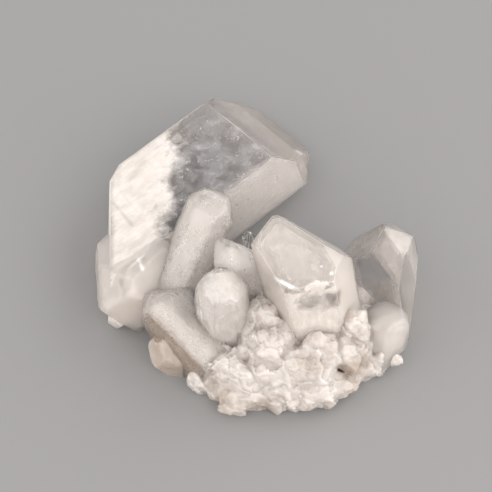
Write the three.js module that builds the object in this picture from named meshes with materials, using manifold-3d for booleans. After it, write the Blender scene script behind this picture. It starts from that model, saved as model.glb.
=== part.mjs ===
// A tabular quartz crystal with the smaller quartz crystals that grew from the same frosted root.
// Millimetres, +Z up. The group's origin is the middle of the footprint, on the surface it rests on.
//
// Every crystal is built the way quartz grows: six side faces parallel to its long axis, sixty degrees
// apart, and six end faces, each leaning over the side face that shares its number. The angles are the
// same on all of them and only the distances of the faces differ, which is what makes one crystal broad
// and flat and the next one slender.

import * as THREE from "three";
import { ConvexGeometry } from "three/addons/geometries/ConvexGeometry.js";
import { mergeVertices } from "three/addons/utils/BufferGeometryUtils.js";
import Module from "manifold-3d";

const wasm = await Module();
wasm.setup();

// ---- quartz constants, degrees ----

const SIDES = 6;
const SIDE_STEP = 60;
const END_TILT = 51.79;

// ---- crystals ----
// at: a point on the long axis. azimuth, elevation: where the axis points, in degrees.
// roll: turns side face 0 about the axis, from the direction nearest to straight up, in degrees.
// sides: distance from the axis to each side face. ends: height above `at` at which each end face
// crosses the axis. root: how far the crystal goes on behind `at`. breaks: extra flat faces, each with
// the direction it looks in and how far it lies from `at`.

const MAIN = {
  at: [-16, 0.3, 5.3],
  azimuth: 43.6,
  elevation: 0,
  roll: 0,
  sides: [5.3, 8.4, 10.2, 5.3, 9.6, 10.9],
  ends: [28.6, 36.2, 39.5, 34.6, 40, 38.6],
  root: 28,
  breaks: [
    { look: [-0.9, 0.36, 0.24], out: 8.7 },
    { look: [-0.96, 0.2, -0.18], out: 7 },
    { look: [-0.99, -0.05, 0.1], out: 6.4 },
    { look: [-0.86, -0.48, 0.14], out: 12.4 },
    { look: [-0.62, -0.76, -0.2], out: 16.6 },
    { look: [-0.5, 0.2, 0.84], out: 9.4 },
  ],
};

// The main crystal's own lower back, grown on a little further as a step.
const MAIN_STEP = {
  at: [-16, 0.3, 5.3],
  azimuth: 43.6,
  elevation: 0,
  roll: 0,
  sides: [3.6, 7, 8, 5.3, 10.3, 10.5],
  ends: [21, 26, 27, 25, 30, 28.5],
  root: 4,
  breaks: [{ look: [-0.86, 0.3, -0.3], out: 4.6 }],
};

const ROOT_LOBE = {
  at: [-16.4, -9.2, 4.9],
  azimuth: 236,
  elevation: 4,
  roll: 12,
  sides: [5.7, 8.8, 8.6, 5, 5.6, 5.7],
  ends: [12.6, 13.4, 13.4, 13, 14, 13.6],
  root: 9,
  breaks: [
    { look: [-0.98, -0.1, 0.12], out: 7.4 },
    { look: [-0.82, 0.52, 0.24], out: 9.2 },
    { look: [-0.75, -0.6, 0.3], out: 9.6 },
    { look: [-0.55, -0.7, -0.46], out: 8.2 },
    { look: [0.1, -0.95, 0.25], out: 8.2 },
  ],
};

const FINGER = {
  at: [-12, -13.2, 4.4],
  azimuth: 61.7,
  elevation: 31.6,
  roll: 8,
  sides: [3.6, 3.7, 4, 4, 3.6, 3.7],
  ends: [19.4, 21.6, 22.4, 22.4, 21.4, 20.6],
  root: 5,
  breaks: [
    { look: [0.4, 0.62, 0.68], out: 17.8 },
    { look: [0.97, 0.06, 0.22], out: 11.6 },
  ],
};

const LEFT_PLATE = {
  at: [-8.2, -24.2, 3.8],
  azimuth: 135,
  elevation: 10.5,
  roll: -30,
  sides: [4.7, 6, 7, 4, 4.6, 1.75],
  ends: [15, 16.4, 18, 15, 13.6, 12],
  root: 4,
  breaks: [{ look: [-0.9, 0.3, -0.32], out: 8.2 }],
};

const CENTRE = {
  at: [-3.2, -21.3, 0],
  azimuth: 98,
  elevation: 76,
  roll: 180,
  sides: [3, 3.7, 3.9, 4.2, 3.9, 3.6],
  ends: [18.8, 20, 20.6, 21, 20, 19.8],
  root: 2,
  breaks: [{ look: [0.05, -0.35, 0.94], out: 17.6 }],
};

const CENTRE_BACK = {
  at: [-0.6, -14.6, 0],
  azimuth: 112,
  elevation: 78,
  roll: 128,
  sides: [3.4, 3.6, 3.2, 3.6, 3.6, 3.8],
  ends: [17.6, 20.4, 19.6, 20, 19.4, 18.6],
  root: 2,
  breaks: [],
};

const TINY = {
  at: [0.1, -9.4, 5],
  azimuth: 80,
  elevation: 76,
  roll: 170,
  sides: [1.1, 0.9, 1, 1.1, 0.9, 1],
  ends: [9.4, 9.8, 9.6, 9.6, 9.9, 9.6],
  root: 7,
  breaks: [],
};

const TALL = {
  at: [9.1, -16.9, 9.6],
  azimuth: 127.4,
  elevation: 72.2,
  roll: -32.5,
  sides: [5, 7, 7.6, 3.4, 6, 4.8],
  ends: [13.5, 17.6, 15.8, 18.6, 19.6, 18.5],
  root: 14,
  breaks: [],
};

const CLEAR = {
  at: [22.8, -13.8, 4.8],
  azimuth: 149.7,
  elevation: 76.3,
  roll: -106.1,
  sides: [1.1, 4.6, 3.9, 7, 10.6, 9.6],
  ends: [15.5, 12.2, 15.1, 18.1, 18.2, 13.8],
  root: 8,
  breaks: [
    { look: [0.888, -0.403, 0.221], out: 3.45 },
    { look: [0.97, 0.1, -0.2], out: 3.6 },
  ],
};

const RIGHT_STUB = {
  at: [21.6, -20.4, 1.4],
  azimuth: 80,
  elevation: 66,
  roll: 160,
  sides: [3.5, 3.3, 3.4, 3.8, 3.6, 3.5],
  ends: [10, 10.4, 10.6, 11.2, 10.6, 10],
  root: 3,
  breaks: [
    { look: [-0.1, 0.2, 0.97], out: 6.8 },
    { look: [0.62, -0.35, -0.7], out: 1.9 },
  ],
};

const CRYSTALS = [
  MAIN,
  MAIN_STEP,
  ROOT_LOBE,
  FINGER,
  LEFT_PLATE,
  CENTRE,
  CENTRE_BACK,
  TINY,
  TALL,
  CLEAR,
  RIGHT_STUB,
];

// ---- the frosted root: lumps, each with its middle, its half size and how many facets it has ----

const LUMPS = [
  // the body under the upright crystals
  { at: [4, -20, 3.4], size: [10, 7, 5.4], facets: 20 },
  { at: [14, -18.6, 3], size: [9, 6, 4.6], facets: 20 },
  { at: [-6, -17.6, 3], size: [7, 7, 5], facets: 20 },
  { at: [-11.4, -21.8, 2.4], size: [4.3, 3.5, 4.3], facets: 16 },
  // the ragged front foot, from left to right
  { at: [-6.6, -26.4, 2], size: [2.8, 2.3, 2.8], facets: 14 },
  { at: [-3.6, -28, 1.8], size: [2.5, 2.3, 2.6], facets: 14 },
  { at: [-1, -30, 2], size: [2.7, 2.7, 2.8], facets: 16 },
  { at: [1.3, -29.6, 2.2], size: [2.8, 2.6, 2.8], facets: 14 },
  { at: [4.2, -29.2, 1.9], size: [2.6, 2.4, 2.6], facets: 14 },
  { at: [7, -29.4, 2.2], size: [2.7, 2.6, 2.8], facets: 16 },
  { at: [9.6, -29.2, 2.2], size: [2.6, 2.6, 2.7], facets: 14 },
  { at: [12.2, -29, 2.2], size: [2.6, 2.5, 2.6], facets: 14 },
  { at: [13.9, -27.8, 2.2], size: [2.2, 2.3, 2.5], facets: 14 },
  { at: [15.8, -26.4, 1.3], size: [2, 1.9, 2], facets: 14 },
  { at: [18.2, -24.3, 1.3], size: [2.4, 2.1, 2.1], facets: 14 },
  { at: [20.2, -23.3, 1.3], size: [2.2, 2, 2], facets: 14 },
  { at: [21.2, -21.8, 1.8], size: [2.4, 2.4, 2.6], facets: 14 },
  // the broken underside between the body and the foot
  { at: [-1, -25.8, 1.6], size: [3.4, 2.8, 2.4], facets: 14 },
  { at: [4.6, -26.2, 1.4], size: [3.6, 2.8, 2.2], facets: 14 },
  { at: [9.8, -26, 1.6], size: [3.4, 2.8, 2.4], facets: 14 },
  // the steps above the foot
  { at: [3.5, -24.4, 6.4], size: [3.4, 3, 5.4], facets: 15 },
  { at: [2.6, -27.2, 4.8], size: [3, 2.8, 3.6], facets: 14 },
  { at: [7, -26.6, 5.6], size: [3.8, 3, 3.6], facets: 15 },
  { at: [10.6, -26.8, 4.2], size: [3.4, 3, 3.2], facets: 15 },
  { at: [11.5, -24.2, 6.2], size: [3.6, 3, 3.6], facets: 15 },
  { at: [15.6, -23.6, 5.2], size: [3.4, 2.8, 3.4], facets: 15 },
  { at: [16.6, -20.8, 7.8], size: [2.6, 2.6, 3.8], facets: 14 },
  { at: [-3.4, -25.8, 4.8], size: [3.4, 3, 3.6], facets: 15 },
  { at: [-0.2, -27.8, 4.2], size: [3, 2.8, 3.2], facets: 14 },
  // the back of the root, under the upright crystals
  { at: [10, -12.6, 2.4], size: [4.4, 3.2, 3], facets: 16 },
  { at: [3.2, -11.6, 2.2], size: [3.6, 3.2, 2.8], facets: 16 },
  { at: [17, -11.8, 2], size: [3.8, 3, 2.6], facets: 16 },
  { at: [22.6, -11.6, 1.8], size: [3, 2.8, 2.6], facets: 14 },
  { at: [-4.6, -10.6, 2], size: [3.4, 3, 2.8], facets: 14 },
  // the frosted saddle between the centre crystals and the tall one
  { at: [3, -18.8, 5.4], size: [3.4, 4.8, 7], facets: 18 },
  { at: [5.4, -22.6, 5.4], size: [3, 3.4, 4.6], facets: 16 },
];

// Small crystals that stud the lumps: how many on each, and their half width.
const STUDS_PER_LUMP = 3;
const STUD = { least: 0.5, most: 1.15 };
const STUD_SEED = 23;

// ---- helpers ----

const radians = THREE.MathUtils.degToRad;
const PLANE_SLACK = 1e-5;
const POINT_GRID = 1e4;
const GOLDEN_TURN = Math.PI * (3 - Math.sqrt(5));
const LUMP_JITTER = 0.3;

// The corner where three planes meet, or null where two of them run side by side.
function corner(a, b, c) {
  const bc = new THREE.Vector3().crossVectors(b.look, c.look);
  const spread = a.look.dot(bc);
  if (Math.abs(spread) < 1e-6) return null;
  const ca = new THREE.Vector3().crossVectors(c.look, a.look);
  const ab = new THREE.Vector3().crossVectors(a.look, b.look);
  return bc
    .multiplyScalar(a.out)
    .addScaledVector(ca, b.out)
    .addScaledVector(ab, c.out)
    .divideScalar(spread);
}

// The closed convex body that lies behind every one of the planes, as a solid.
function bodyBehind(planes) {
  const corners = new Map();
  planes.forEach((a, i) =>
    planes.slice(i + 1).forEach((b, j) =>
      planes.slice(i + j + 2).forEach((c) => {
        const point = corner(a, b, c);
        if (!point) return;
        if (planes.some((p) => p.look.dot(point) > p.out + PLANE_SLACK)) return;
        const rounded = point.toArray().map((v) => Math.round(v * POINT_GRID) / POINT_GRID);
        corners.set(rounded.join(), new THREE.Vector3(...rounded));
      }),
    ),
  );
  return solidOf(new ConvexGeometry([...corners.values()]));
}

function solidOf(geometry) {
  geometry.deleteAttribute("normal");
  geometry.deleteAttribute("uv");
  const merged = mergeVertices(geometry, 1e-4);
  return new wasm.Manifold(
    new wasm.Mesh({
      numProp: 3,
      vertProperties: merged.attributes.position.array,
      triVerts: new Uint32Array(merged.index.array),
    }),
  );
}

// The turn from a crystal's own frame (axis along Z, side face 0 towards X) to the cluster's.
function stance({ azimuth, elevation, roll }) {
  const axis = new THREE.Vector3(
    Math.cos(radians(elevation)) * Math.cos(radians(azimuth)),
    Math.cos(radians(elevation)) * Math.sin(radians(azimuth)),
    Math.sin(radians(elevation)),
  );
  const up = new THREE.Vector3(0, 0, 1).addScaledVector(axis, -axis.z).normalize();
  const across = new THREE.Vector3().crossVectors(axis, up);
  const toFace0 = up
    .multiplyScalar(Math.cos(radians(roll)))
    .addScaledVector(across, Math.sin(radians(roll)));
  const toFace90 = new THREE.Vector3().crossVectors(axis, toFace0);
  return new THREE.Matrix4().makeBasis(toFace0, toFace90, axis);
}

function crystal(c) {
  const at = new THREE.Vector3(...c.at);
  const turn = stance(c);
  const planes = [];
  const place = (look, out) => planes.push({ look, out: out + look.dot(at) });
  for (let i = 0; i < SIDES; i++) {
    const round = radians(i * SIDE_STEP);
    const tilt = radians(END_TILT);
    const side = new THREE.Vector3(Math.cos(round), Math.sin(round), 0);
    const end = side.clone().multiplyScalar(Math.sin(tilt));
    end.z = Math.cos(tilt);
    place(side.transformDirection(turn), c.sides[i]);
    place(end.transformDirection(turn), c.ends[i] * Math.cos(tilt));
  }
  place(new THREE.Vector3(0, 0, -1).transformDirection(turn), c.root);
  for (const { look, out } of c.breaks) place(new THREE.Vector3(...look).normalize(), out);
  return bodyBehind(planes);
}

// A lump with flat facets, about as big as an ellipsoid of the given half sizes.
function lump({ at, size, facets }, random) {
  const centre = new THREE.Vector3(...at);
  const planes = [];
  for (let i = 0; i < facets; i++) {
    const height = 1 - (2 * (i + 0.5)) / facets;
    const round = i * GOLDEN_TURN + random() * 0.9;
    const flat = Math.sqrt(1 - height * height);
    const lean = height + LUMP_JITTER * (random() - 0.5);
    const look = new THREE.Vector3(flat * Math.cos(round), flat * Math.sin(round), lean).normalize();
    const reach = Math.hypot(look.x * size[0], look.y * size[1], look.z * size[2]);
    planes.push({ look, out: look.dot(centre) + reach * (0.78 + 0.2 * random()) });
  }
  return bodyBehind(planes);
}

// A small crystal that stands on a lump, leaning out from its middle.
function stud({ at, size }, random) {
  const azimuth = 360 * random();
  const elevation = 75 * random();
  const width = STUD.least + (STUD.most - STUD.least) * random();
  const turn = stance({ azimuth, elevation, roll: 0 });
  const axis = new THREE.Vector3(0, 0, 1).transformDirection(turn);
  const reach = Math.hypot(axis.x * size[0], axis.y * size[1], axis.z * size[2]);
  const foot = new THREE.Vector3(...at).addScaledVector(axis, reach * 0.72);
  const varied = (least, most) => width * (least + (most - least) * random());
  return crystal({
    at: foot.toArray(),
    azimuth: azimuth + 40 * (random() - 0.5),
    elevation: elevation + 40 * (random() - 0.5),
    roll: 360 * random(),
    sides: Array.from({ length: SIDES }, () => varied(0.8, 1.2)),
    ends: Array.from({ length: SIDES }, () => varied(1.7, 2.4)),
    root: width,
    breaks: [],
  });
}

function seeded(seed) {
  let state = seed >>> 0;
  return () => {
    state = (Math.imul(state, 1664525) + 1013904223) >>> 0;
    return state / 4294967296;
  };
}

// ---- the cluster ----

const random = seeded(STUD_SEED);
let cluster = CRYSTALS.map(crystal).reduce((all, one) => all.add(one));
for (const body of LUMPS) {
  cluster = cluster.add(lump(body, random));
  for (let i = 0; i < STUDS_PER_LUMP; i++) cluster = cluster.add(stud(body, random));
}

const BED = 200;
const bed = new THREE.BoxGeometry(BED, BED, BED).translate(0, 0, -BED / 2);
cluster = cluster.subtract(solidOf(bed));

const made = cluster.getMesh();
const geometry = new THREE.BufferGeometry();
const points = new Float32Array(made.numVert * 3);
for (let i = 0; i < made.numVert; i++) {
  points.set(made.vertProperties.subarray(i * made.numProp, i * made.numProp + 3), i * 3);
}
geometry.setAttribute("position", new THREE.BufferAttribute(points, 3));
geometry.setIndex(new THREE.BufferAttribute(made.triVerts, 1));

const quartz = new THREE.MeshStandardMaterial({ color: 0xdcd8d3, roughness: 0.22, metalness: 0 });
const mesh = new THREE.Mesh(geometry, quartz);
mesh.name = "quartz_cluster";

// The cluster stands over the origin, middle of its footprint.
geometry.computeBoundingBox();
const { min, max } = geometry.boundingBox;
mesh.position.set(-(min.x + max.x) / 2, -(min.y + max.y) / 2, -min.z);

const group = new THREE.Group();
group.add(mesh);
export default group;
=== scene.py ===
import math

import bmesh
import bpy
from bpy.props import FloatProperty, FloatVectorProperty, PointerProperty
from mathutils import Matrix, Vector, noise


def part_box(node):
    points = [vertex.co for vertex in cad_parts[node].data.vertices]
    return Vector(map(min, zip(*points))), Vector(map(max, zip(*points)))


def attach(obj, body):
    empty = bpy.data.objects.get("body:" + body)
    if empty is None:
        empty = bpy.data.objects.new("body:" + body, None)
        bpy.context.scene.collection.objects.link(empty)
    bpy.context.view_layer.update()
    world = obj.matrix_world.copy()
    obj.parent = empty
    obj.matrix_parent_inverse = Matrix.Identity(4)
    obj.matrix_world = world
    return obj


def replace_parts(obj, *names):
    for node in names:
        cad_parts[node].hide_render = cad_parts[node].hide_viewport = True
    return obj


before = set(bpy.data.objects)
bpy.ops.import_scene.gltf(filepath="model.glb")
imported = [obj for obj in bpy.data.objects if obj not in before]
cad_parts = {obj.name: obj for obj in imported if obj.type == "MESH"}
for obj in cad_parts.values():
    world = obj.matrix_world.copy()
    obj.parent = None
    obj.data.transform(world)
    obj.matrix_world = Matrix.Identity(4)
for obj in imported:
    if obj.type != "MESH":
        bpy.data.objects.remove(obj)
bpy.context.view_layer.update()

bl_info = {
    "name": "Quartz cluster",
    "version": (1, 0, 0),
    "blender": (4, 5, 0),
    "location": "3D View > Sidebar > Quartz",
    "description": "Dresses a cluster of tabular quartz crystals with clear, milky and broken quartz",
    "category": "Object",
}

NODE = "quartz_cluster"
MM = 0.001
QUARTZ_IOR = 1.544

# ---- how the crystals stand ----
# Millimetres and degrees. GROWTH_POINT is the zero of the positions in this table. axis: azimuth and
# elevation of the long axis. roll: turn of side face 0 about it, from the direction nearest to up.
# sides: distance of each side face from the axis. ends: where each end face crosses the axis. root: how
# far the crystal goes on behind its point. breaks: extra flat faces, as a direction and a distance.

GROWTH_POINT = Vector((-1.2108, 2.91425, 0.0))
END_TILT = math.radians(51.79)


class Crystal:
    """A crystal as the planes of its faces: for each, the way it looks and how far out it lies."""

    def __init__(self, name, at, axis, roll, sides, ends, root, breaks=()):
        self.name = name
        self.at = (Vector(at) + GROWTH_POINT) * MM
        azimuth, elevation = (math.radians(v) for v in axis)
        flat = Vector((math.cos(azimuth), math.sin(azimuth), 0.0))
        self.axis = flat * math.cos(elevation) + Vector((0, 0, math.sin(elevation)))
        up = (Vector((0, 0, 1)) - self.axis * self.axis.z).normalized()
        across = self.axis.cross(up)
        self.side_0 = up * math.cos(math.radians(roll)) + across * math.sin(math.radians(roll))
        self.side_90 = self.axis.cross(self.side_0)
        self.faces = {}
        for i in range(6):
            turn = math.radians(60 * i)
            side = self.side_0 * math.cos(turn) + self.side_90 * math.sin(turn)
            end = side * math.sin(END_TILT) + self.axis * math.cos(END_TILT)
            self.place(f"side_{i}", side, sides[i])
            self.place(f"end_{i}", end, ends[i] * math.cos(END_TILT))
        self.place("root", -self.axis, root)
        for i, (look, out) in enumerate(breaks):
            self.place(f"break_{i}", Vector(look).normalized(), out)

    def place(self, name, look, out):
        self.faces[name] = (look, out * MM + look.dot(self.at))

    def holds(self, p, slack=0.0):
        return all(look.dot(p) < out + slack for look, out in self.faces.values())

    def turn(self):
        """Rotation from the cluster's frame to the crystal's own, with its long axis along Z."""
        return Matrix((self.side_0, self.side_90, self.axis))


MAIN = Crystal(
    "main", (-16, 0.3, 5.3), (43.6, 0), 0,
    (5.3, 8.4, 10.2, 5.3, 9.6, 10.9), (28.6, 36.2, 39.5, 34.6, 40, 38.6), 28,
    (
        ((-0.9, 0.36, 0.24), 8.7), ((-0.96, 0.2, -0.18), 7), ((-0.99, -0.05, 0.1), 6.4),
        ((-0.86, -0.48, 0.14), 12.4), ((-0.62, -0.76, -0.2), 16.6), ((-0.5, 0.2, 0.84), 9.4),
    ),
)
STEP = Crystal(
    "step", (-16, 0.3, 5.3), (43.6, 0), 0,
    (3.6, 7, 8, 5.3, 10.3, 10.5), (21, 26, 27, 25, 30, 28.5), 4,
    (((-0.86, 0.3, -0.3), 4.6),),
)
LOBE = Crystal(
    "lobe", (-16.4, -9.2, 4.9), (236, 4), 12,
    (5.7, 8.8, 8.6, 5, 5.6, 5.7), (12.6, 13.4, 13.4, 13, 14, 13.6), 4.5,
    (
        ((-0.98, -0.1, 0.12), 7.4), ((-0.82, 0.52, 0.24), 9.2), ((-0.75, -0.6, 0.3), 9.6),
        ((-0.55, -0.7, -0.46), 8.2), ((0.1, -0.95, 0.25), 8.2),
    ),
)
FINGER = Crystal(
    "finger", (-12, -13.2, 4.4), (61.7, 31.6), 8,
    (3.6, 3.7, 4, 4, 3.6, 3.7), (19.4, 21.6, 22.4, 22.4, 21.4, 20.6), 5,
    (((0.4, 0.62, 0.68), 17.8), ((0.97, 0.06, 0.22), 11.6)),
)
PLATE = Crystal(
    "plate", (-8.2, -24.2, 3.8), (135, 10.5), -30,
    (4.7, 6, 7, 4, 4.6, 1.75), (15, 16.4, 18, 15, 13.6, 12), 4,
    (((-0.9, 0.3, -0.32), 8.2),),
)
CENTRE = Crystal(
    "centre", (-3.2, -21.3, 0), (98, 76), 180,
    (3, 3.7, 3.9, 4.2, 3.9, 3.6), (18.8, 20, 20.6, 21, 20, 19.8), 2,
    (((0.05, -0.35, 0.94), 17.6),),
)
CENTRE_BACK = Crystal(
    "centre_back", (-0.6, -14.6, 0), (112, 78), 128,
    (3.4, 3.6, 3.2, 3.6, 3.6, 3.8), (17.6, 20.4, 19.6, 20, 19.4, 18.6), 2,
)
TINY = Crystal(
    "tiny", (0.1, -9.4, 5), (80, 76), 170,
    (1.1, 0.9, 1, 1.1, 0.9, 1), (9.4, 9.8, 9.6, 9.6, 9.9, 9.6), 7,
)
TALL = Crystal(
    "tall", (9.1, -16.9, 9.6), (127.4, 72.2), -32.5,
    (5, 7, 7.6, 3.4, 6, 4.8), (13.5, 17.6, 15.8, 18.6, 19.6, 18.5), 14,
)
UPRIGHT = Crystal(
    "upright", (22.8, -13.8, 4.8), (149.7, 76.3), -106.1,
    (1.1, 4.6, 3.9, 7, 10.6, 9.6), (15.5, 12.2, 15.1, 18.1, 18.2, 13.8), 8,
    (((0.888, -0.403, 0.221), 3.45), ((0.97, 0.1, -0.2), 3.6)),
)
STUB = Crystal(
    "stub", (21.6, -20.4, 1.4), (80, 66), 160,
    (3.5, 3.3, 3.4, 3.8, 3.6, 3.5), (10, 10.4, 10.6, 11.2, 10.6, 10), 3,
    (((-0.1, 0.2, 0.97), 6.8), ((0.62, -0.35, -0.7), 1.9)),
)
CRYSTALS = [MAIN, STEP, LOBE, FINGER, PLATE, CENTRE, CENTRE_BACK, TINY, TALL, UPRIGHT, STUB]


# ---- sizes and colours that a user would change ----


class CrystalSettings(bpy.types.PropertyGroup):
    edge_width: FloatProperty(
        name="Edge width",
        description="Width of the worn strip along the edges of a crystal",
        default=0.09 * MM,
        unit="LENGTH",
        precision=5,
    )
    edge_wear: FloatProperty(
        name="Edge wear",
        description="How deep the small chips along the edges go",
        default=0.10 * MM,
        unit="LENGTH",
        precision=5,
    )
    clear_colour: FloatVectorProperty(
        name="Clear quartz",
        description="What is left of white light after one centimetre of clear quartz",
        default=(0.74, 0.735, 0.745),
        subtype="COLOR",
        size=3,
    )
    milk_colour: FloatVectorProperty(
        name="Milk",
        description="Colour of the milky parts inside the crystals",
        default=(0.96, 0.925, 0.89),
        subtype="COLOR",
        size=3,
    )
    # Mixed into the milk face by face; on the plate's face turned from the key light it is painted shade
    # as well as stain.
    stain_colour: FloatVectorProperty(
        name="Stain",
        description="Colour of the beige parts inside the crystals",
        default=(0.66, 0.54, 0.44),
        subtype="COLOR",
        size=3,
    )


class RootSettings(bpy.types.PropertyGroup):
    grain_edge: FloatProperty(
        name="Grain edge",
        description="Longest edge on the broken root, which sets how fine its grain is",
        default=0.30 * MM,
        unit="LENGTH",
        precision=5,
    )
    grain_depth: FloatProperty(
        name="Grain depth",
        description="How far the grains of the broken root stand in and out",
        default=0.3 * MM,
        unit="LENGTH",
        precision=5,
    )
    light: FloatVectorProperty(
        name="Light root",
        description="Colour of the frosted grains",
        default=(0.68, 0.63, 0.59),
        subtype="COLOR",
        size=3,
    )
    # Besides stains, this colour paints shade in the hollows and on parts of the root turned from the
    # light.
    dark: FloatVectorProperty(
        name="Stained root",
        description="Colour of the beige stains between the grains",
        default=(0.42, 0.345, 0.285),
        subtype="COLOR",
        size=3,
    )


class StageSettings(bpy.types.PropertyGroup):
    floor_colour: FloatVectorProperty(
        name="Floor",
        description="Colour of the plain pale floor",
        default=(0.285, 0.28, 0.277),
        subtype="COLOR",
        size=3,
    )
    key_power: FloatProperty(
        name="Key light",
        description="Power of the soft light behind the cluster at the right",
        default=1.8,
        unit="POWER",
    )
    fill_power: FloatProperty(
        name="Fill lights",
        description="Power that the soft lights at the front, right and left take their shares of",
        default=2.0,
        unit="POWER",
    )
    lens: FloatProperty(
        name="Lens",
        description="Focal length of the camera",
        default=114.3,
        unit="CAMERA",
    )


# ---- helpers for meshes ----


def finished_piece(bm, name, materials):
    """A new object at the origin that carries this mesh and rides on the cluster's body."""
    for vert in bm.verts:
        vert.co.z = max(vert.co.z, 0.0)
    mesh = bpy.data.meshes.new(name)
    bm.to_mesh(mesh)
    bm.free()
    mesh.validate()
    for material in materials:
        mesh.materials.append(material)
    piece = bpy.data.objects.new(name, mesh)
    bpy.context.scene.collection.objects.link(piece)
    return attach(piece, "root")


def grown(face):
    """True for a face that a crystal grew, so that it isn't part of the broken root."""
    centre = face.calc_center_median()
    for crystal in CRYSTALS:
        for look, out in crystal.faces.values():
            if face.normal.dot(look) > 0.9996 and abs(look.dot(centre) - out) < 0.03 * MM:
                return True
    return False


def cut(bm, look, out):
    """Takes off what lies beyond a plane, and closes the cut with new faces."""
    everything = bm.verts[:] + bm.edges[:] + bm.faces[:]
    made = bmesh.ops.bisect_plane(
        bm,
        geom=everything,
        dist=0.0005 * MM,
        plane_co=look * out,
        plane_no=look,
        clear_outer=True,
    )["geom_cut"]
    rim = [e for e in made if isinstance(e, bmesh.types.BMEdge)]
    if rim:
        return bmesh.ops.edgeloop_fill(bm, edges=rim)["faces"]
    return []


def split_faces(bm, faces, look, out, **how):
    """Splits some faces along a plane, and takes nothing off."""
    edges = list(dict.fromkeys(e for f in faces for e in f.edges))
    verts = list(dict.fromkeys(v for f in faces for v in f.verts))
    everything = faces + edges + verts
    bmesh.ops.bisect_plane(bm, geom=everything, plane_co=look * out, plane_no=look, **how)


def crystal_block(crystal, amounts=None, inset=0.0, lowest=0.0):
    """The crystal's flat-faced body. `amounts` gives faces their haze or milk, from 0 to 1."""
    amounts = amounts or {}
    bm = bmesh.new()
    bmesh.ops.create_cube(bm, size=160 * MM, matrix=Matrix.Translation(crystal.at))
    for layer in ("amount", "stain"):
        bm.faces.layers.float.new(layer)
    bm.faces.layers.int.new("strip")
    bm.faces.layers.int.new("number")
    amount, number = bm.faces.layers.float["amount"], bm.faces.layers.int["number"]
    for i, (name, (look, out)) in enumerate(crystal.faces.items()):
        for face in cut(bm, look, out - inset):
            face[amount] = amounts.get(name, 0.0)
            face[number] = i
    for face in cut(bm, Vector((0, 0, -1)), -lowest):
        face[amount] = 0.5
        face[number] = -1
    bmesh.ops.remove_doubles(bm, verts=bm.verts, dist=0.01 * MM)
    bmesh.ops.recalc_face_normals(bm, faces=bm.faces)
    return bm


def near_surface(crystal, place, inset, soft):
    """The way out of a crystal at a point of its surface, blended where faces meet, how far
    an edge rounded by the given softness lies below the point, and how near an edge is."""
    near = 0.8
    way = Vector()
    crowd = 0.0
    rooms = []
    for look, out in crystal.faces.values():
        room = (out - look.dot(place)) / MM - inset
        rooms.append(room)
        if room < near:
            way += look * (1 - room / near) ** 2
        if room < 6 * soft:
            crowd += math.exp(-room / soft)
    second = sorted(rooms)[1]
    return way.normalized(), soft * math.log(max(crowd, 1.0)), max(1 - second / near, 0.0)


def weather(bm, crystal, soft, swell, chips, inset=0.0):
    """Rounds a crystal's edges, flakes small chips off them, and makes its faces uneven."""
    strips = bm.faces.layers.int["strip"]
    for face in bm.faces:
        face[strips] = 1
    split_long_edges(bm, strips, 0.45 * MM)
    for face in bm.faces:
        face[strips] = 0
        face.smooth = True
    low = min(v.co.z for v in bm.verts)
    for vert in bm.verts:
        way, dent, edge = near_surface(crystal, vert.co, inset, soft)
        dent += swell * abs(noise.noise(vert.co / (2.6 * MM) + Vector((4, 4, 1))))
        dent += chips * edge * max(noise.noise(vert.co / (1.9 * MM)) + 0.1, 0.0)
        vert.co -= way * dent * MM
        vert.co.z = max(vert.co.z, low)


def wear_edges(bm, width, depth, worn):
    """Bevels every edge, chips the middle of each strip, and makes part of the strips white."""
    made = bmesh.ops.bevel(
        bm,
        geom=bm.edges[:],
        offset=width,
        offset_type="OFFSET",
        segments=2,
        profile=0.5,
        material=-1,
        affect="EDGES",
        clamp_overlap=True,
    )["faces"]
    amount, strips = bm.faces.layers.float["amount"], bm.faces.layers.int["strip"]
    for face in made:
        face[strips] = 1
        face[amount] = 0.8
    ridges = [e for e in bm.edges if all(f[strips] for f in e.link_faces)]
    long = [e for e in ridges if e.calc_length() > 4 * width]
    for edge in long:
        cuts = min(int(edge.calc_length() / (0.35 * MM)), 90)
        if cuts:
            bmesh.ops.subdivide_edges(bm, edges=[edge], cuts=cuts)
    bmesh.ops.triangulate(bm, faces=[f for f in bm.faces if f[strips]])
    bm.normal_update()
    for vert in bm.verts:
        if all(f[strips] for f in vert.link_faces):
            chip = max(noise.noise(vert.co / (0.7 * MM)) + 0.15, 0.0)
            deep = max(noise.noise(vert.co / (3.0 * MM) + Vector((5, 1, 9))) - 0.12, 0.0)
            vert.co -= vert.normal * depth * (chip + 5 * deep * chip)
    for face in bm.faces:
        if face[strips]:
            middle = face.calc_center_median()
            if noise.noise(middle / (1.1 * MM) + Vector((3, 8, 2))) < 2 * worn - 1:
                face.material_index = 1


def split_long_edges(bm, layer, longest):
    """Halves the long edges of the faces marked in a layer, until their grain is fine."""
    for _ in range(9):
        marked = [f for f in bm.faces if f[layer] and len(f.verts) > 3]
        bmesh.ops.triangulate(bm, faces=marked)
        edges = [
            e
            for e in bm.edges
            if e.calc_length() > longest and any(f[layer] for f in e.link_faces)
        ]
        if not edges:
            break
        bmesh.ops.subdivide_edges(bm, edges=edges, cuts=1)
    return [f for f in bm.faces if f[layer]]


def flake(p, size):
    """A tilted facet in each cell of a random mosaic, as on broken quartz."""
    bent = p / size + Vector((0.35, 0.25, 0.3)) * noise.noise(p / (0.8 * size))
    cell = noise.voronoi(bent)[1][0]
    return (bent - cell).dot(noise.cell_vector(cell * 7.3).normalized())


def grain_height(p):
    """How far broken quartz stands out at a point, in units of the grain depth."""
    swell = noise.fractal(p / (2.6 * MM), 0.7, 2.1, 4)
    return 1.3 * flake(p, 2.6 * MM) + 0.6 * flake(p, 1.1 * MM) + 0.5 * swell


# ---- helpers for materials ----


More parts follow.
